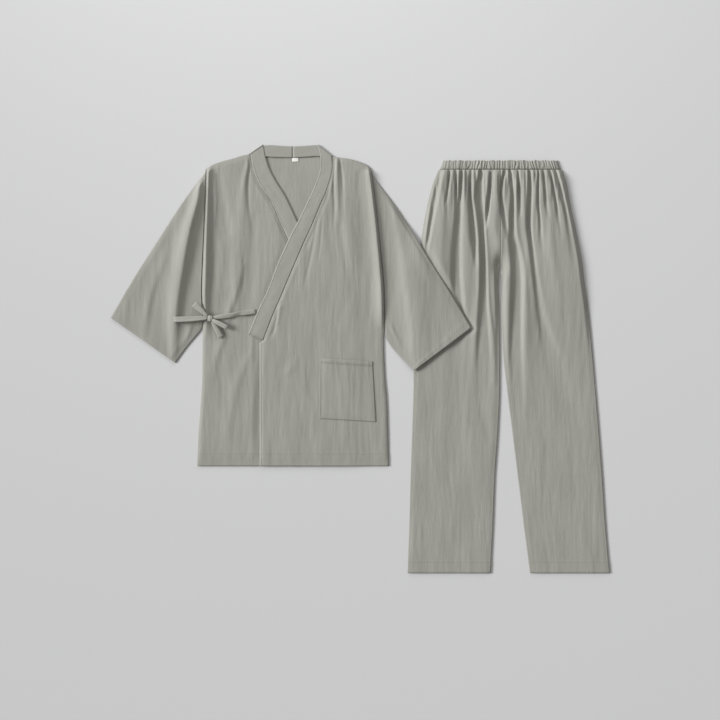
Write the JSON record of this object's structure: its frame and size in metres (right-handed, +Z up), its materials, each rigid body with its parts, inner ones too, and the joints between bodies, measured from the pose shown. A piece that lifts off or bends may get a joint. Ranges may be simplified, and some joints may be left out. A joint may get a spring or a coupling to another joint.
{
  "type": "jinbei set laid flat",
  "caption": "Grey cotton jinbei laid flat: a short-sleeved wrap jacket tied at its right side, with a patch pocket, and gathered-waist trousers under its left sleeve.",
  "frame": {"origin": "under the middle of the whole set's outline, on the surface that it lies on", "axes": "+Z up out of the surface; +X across the garments, from the jacket's right sleeve to the trousers' left leg; +Y from the hems towards the collar and the waistband"},
  "size_m": [1.198, 1.0288, 0.0162],
  "materials": {
    "cotton": "matte",
    "neck_tape": "matte"
  },
  "bodies": {
    "root": {"jacket_back": "cotton", "jacket_front_right": "cotton", "jacket_front_left": "cotton", "pocket": "cotton", "collar_right": "cotton", "collar_left": "cotton", "sleeve_right": "cotton", "sleeve_left": "cotton", "neck_label": "neck_tape", "tie_front": "cotton", "bow_loop_right": "cotton", "bow_loop_left": "cotton", "bow_end_upper": "cotton", "bow_end_lower": "cotton", "bow_knot": "cotton", "trousers_back_right": "cotton", "trousers_front_right": "cotton", "trousers_back_left": "cotton", "trousers_front_left": "cotton", "waistband": "cotton"}
  },
  "joints": []
}
